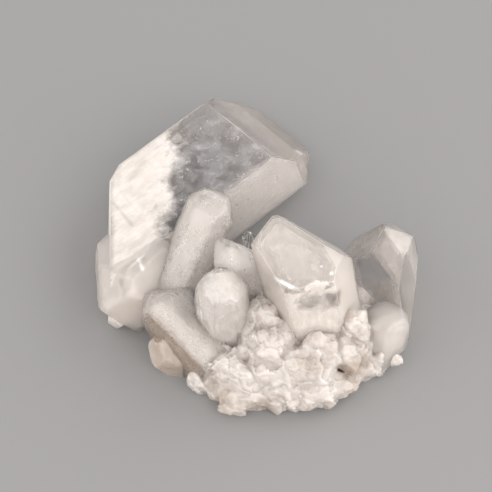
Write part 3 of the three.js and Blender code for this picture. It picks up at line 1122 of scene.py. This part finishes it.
class QUARTZ_OT_root(bpy.types.Operator):
    """Breaks up the surface of the root that the crystals stand on into grains"""

    bl_idname = "quartz.root"
    bl_label = "Granular root"

    def execute(self, context):
        settings = context.scene.quartz_root
        bm = bmesh.new()
        bm.from_mesh(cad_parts[NODE].data)
        bmesh.ops.remove_doubles(bm, verts=bm.verts, dist=0.002 * MM)
        bmesh.ops.dissolve_limit(
            bm,
            angle_limit=math.radians(0.4),
            use_dissolve_boundaries=False,
            verts=bm.verts,
            edges=bm.edges,
        )
        self.open_under_crystals(bm)
        grown_faces = [f for f in bm.faces if grown(f)]
        bmesh.ops.delete(bm, geom=grown_faces, context="FACES")
        self.tuck_rim(bm)
        grains = bm.faces.layers.int.new("grains")
        for face in bm.faces:
            face[grains] = 1
        split_long_edges(bm, grains, settings.grain_edge)
        self.roughen(bm, settings)
        piece = finished_piece(bm, "granular_root", [broken_quartz(settings)])
        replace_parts(piece, NODE)
        return {"FINISHED"}

    def open_under_crystals(self, bm):
        """Takes away the underside where a crystal has its own."""
        for crystal in CRYSTALS:
            for look, out in crystal.faces.values():
                under = [f for f in bm.faces if self.underside(f)]
                split_faces(bm, under, look, out, dist=0.002 * MM)
        inside = [
            f
            for f in bm.faces
            if self.underside(f)
            and any(c.holds(f.calc_center_median(), 0.005 * MM) for c in CRYSTALS)
        ]
        bmesh.ops.delete(bm, geom=inside, context="FACES")

    def underside(self, face):
        return face.normal.z < -0.99 and face.calc_center_median().z < 0.02 * MM

    def tuck_rim(self, bm):
        """Leads the open rim a little way into the crystals, so that no gap shows."""
        rim = [e for e in bm.edges if e.is_boundary]
        made = bmesh.ops.extrude_edge_only(bm, edges=rim)["geom"]
        for vert in (v for v in made if isinstance(v, bmesh.types.BMVert)):
            inward = Vector()
            for crystal in CRYSTALS:
                if not crystal.holds(vert.co, 0.03 * MM):
                    continue
                for look, out in crystal.faces.values():
                    if abs(look.dot(vert.co) - out) < 0.03 * MM:
                        inward -= look
            if inward.length > 0.1:
                vert.co += inward.normalized() * 0.5 * MM
                vert.co.z = max(vert.co.z, 0.0)

    def fill_hollows(self, bm, verts, rounds):
        """Smooths the surface, but lets the hollows rise more than the humps sink."""
        bm.normal_update()
        before = [(v.co.copy(), v.normal.copy()) for v in verts]
        for _ in range(rounds):
            bmesh.ops.smooth_vert(
                bm, verts=verts, factor=0.5, use_axis_x=True, use_axis_y=True, use_axis_z=True
            )
        for vert, (place, outward) in zip(verts, before):
            sunk = min(outward.dot(vert.co - place), 0.0)
            vert.co -= outward * 0.6 * sunk

    def roughen(self, bm, settings):
        """Softens the big lumps, and gives the surface grains, stains and painted shade."""
        low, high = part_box(NODE)
        beige_toned = bm.verts.layers.float.new("root_stain_and_shade")
        free = [
            v
            for v in bm.verts
            if v.co.z > 0.01 * MM and not any(e.is_boundary for e in v.link_edges)
        ]
        for _ in range(4):
            self.fill_hollows(bm, free, 12)
        bm.normal_update()
        moved = []
        for vert in free:
            height = grain_height(vert.co)
            drift = noise.fractal(vert.co / (4.5 * MM), 0.9, 2.0, 3)
            # Beige share: random drift, a little painted shade where the grains sink, and more towards
            # the floor.
            stain = 0.08 + 0.6 * drift - 0.05 * height
            stain += 0.3 * max(1 - vert.co.z / (2.5 * MM), 0.0)
            beige = 0.0
            for centre, radius, most in STAINED_AND_SHADED_PARTS:
                away = (vert.co - nest(*centre)).length / (radius * MM)
                beige = max(beige, most * min(max(2.2 - 2 * away, 0.0), 1.0))
            vert[beige_toned] = min(max(stain + beige, 0.0), 1.0)
            height *= 1 - 0.8 * beige
            moved.append(vert.co + vert.normal * height * settings.grain_depth)
        for vert, place in zip(free, moved):
            vert.co = Vector(min(max(v, a), b) for v, a, b in zip(place, low, high))
        for face in bm.faces:
            face.smooth = True


class QUARTZ_OT_stage(bpy.types.Operator):
    """Sets out the pale floor, the soft lights and the camera"""

    bl_idname = "quartz.stage"
    bl_label = "Stage"

    def execute(self, context):
        settings = context.scene.quartz_stage
        self.lay_floor(context, settings)
        self.light_studio(context, settings)
        self.set_camera(context, settings)
        return {"FINISHED"}

    def lay_floor(self, context, settings):
        """A plain floor just below the cluster, so that the two surfaces never coincide."""
        bm = bmesh.new()
        bmesh.ops.create_grid(bm, x_segments=1, y_segments=1, size=1.6)
        mesh = bpy.data.meshes.new("floor")
        bm.to_mesh(mesh)
        bm.free()
        floor = bpy.data.objects.new("floor", mesh)
        floor.location.z = -0.02 * MM
        context.scene.collection.objects.link(floor)
        t = Tree("floor")
        t.set(Base_Color=(*settings.floor_colour, 1), Roughness=0.85)
        mesh.materials.append(t.material)

    def light_studio(self, context, settings):
        """An even pale surrounding, and four large soft lights."""
        world = bpy.data.worlds.new("studio")
        world.use_nodes = True
        back = world.node_tree.nodes["Background"]
        back.inputs["Color"].default_value = (0.90, 0.90, 0.92, 1)
        back.inputs["Strength"].default_value = 0.88
        context.scene.world = world
        context.scene.view_settings.view_transform = "Standard"
        context.scene.cycles.transparent_max_bounces = 32
        fill = settings.fill_power
        for name, place, power, colour in (
            ("key", (0.46, 0.30, 0.34), settings.key_power, (1.0, 0.97, 0.93)),
            ("front_fill", (-0.16, -0.5, 0.3), 0.62 * fill, (1.0, 0.965, 0.93)),
            ("right_fill", (0.42, -0.34, 0.28), 0.82 * fill, (1.0, 0.965, 0.93)),
            ("left_fill", (-0.5, -0.1, 0.28), 0.6 * fill, (1.0, 0.965, 0.93)),
        ):
            light = bpy.data.lights.new(name, "AREA")
            light.shape, light.size = "DISK", 0.6
            light.energy, light.color = power, colour
            lamp = bpy.data.objects.new(name, light)
            lamp.location = place
            lamp.rotation_euler = (-Vector(place)).to_track_quat("-Z", "Y").to_euler()
            context.scene.collection.objects.link(lamp)

    def set_camera(self, context, settings):
        """A camera in front of and above the cluster, which looks at the crystals' growth point."""
        camera = bpy.data.cameras.new("camera")
        camera.lens = settings.lens
        camera.sensor_width = 36
        camera.clip_start, camera.clip_end = 0.01, 10
        eye = bpy.data.objects.new("camera", camera)
        target = GROWTH_POINT * MM
        eye.location = target + Vector((0, -148.9, 212.6)) * MM
        eye.rotation_euler = (target - eye.location).to_track_quat("-Z", "Y").to_euler()
        context.scene.collection.objects.link(eye)
        context.scene.camera = eye


class QUARTZ_PT_panel(bpy.types.Panel):
    """The cluster's pieces and stage, in the sidebar"""

    bl_idname = "QUARTZ_PT_panel"
    bl_label = "Quartz cluster"
    bl_space_type = "VIEW_3D"
    bl_region_type = "UI"
    bl_category = "Quartz"

    def draw(self, context):
        for operator in OPERATORS:
            self.layout.operator(operator.bl_idname)


SETTINGS = {
    "quartz_crystals": CrystalSettings,
    "quartz_root": RootSettings,
    "quartz_stage": StageSettings,
}
OPERATORS = [
    QUARTZ_OT_main,
    QUARTZ_OT_frosted,
    QUARTZ_OT_clear,
    QUARTZ_OT_root,
    QUARTZ_OT_stage,
]
CLASSES = [*SETTINGS.values(), *OPERATORS, QUARTZ_PT_panel]


def register():
    for cls in CLASSES:
        bpy.utils.register_class(cls)
    for name, cls in SETTINGS.items():
        setattr(bpy.types.Scene, name, PointerProperty(type=cls))


def unregister():
    for name in SETTINGS:
        delattr(bpy.types.Scene, name)
    for cls in reversed(CLASSES):
        bpy.utils.unregister_class(cls)


def main():
    register()
    bpy.ops.quartz.main()
    bpy.ops.quartz.frosted()
    bpy.ops.quartz.clear()
    bpy.ops.quartz.root()
    bpy.ops.quartz.stage()


if __name__ == "__main__":
    main()
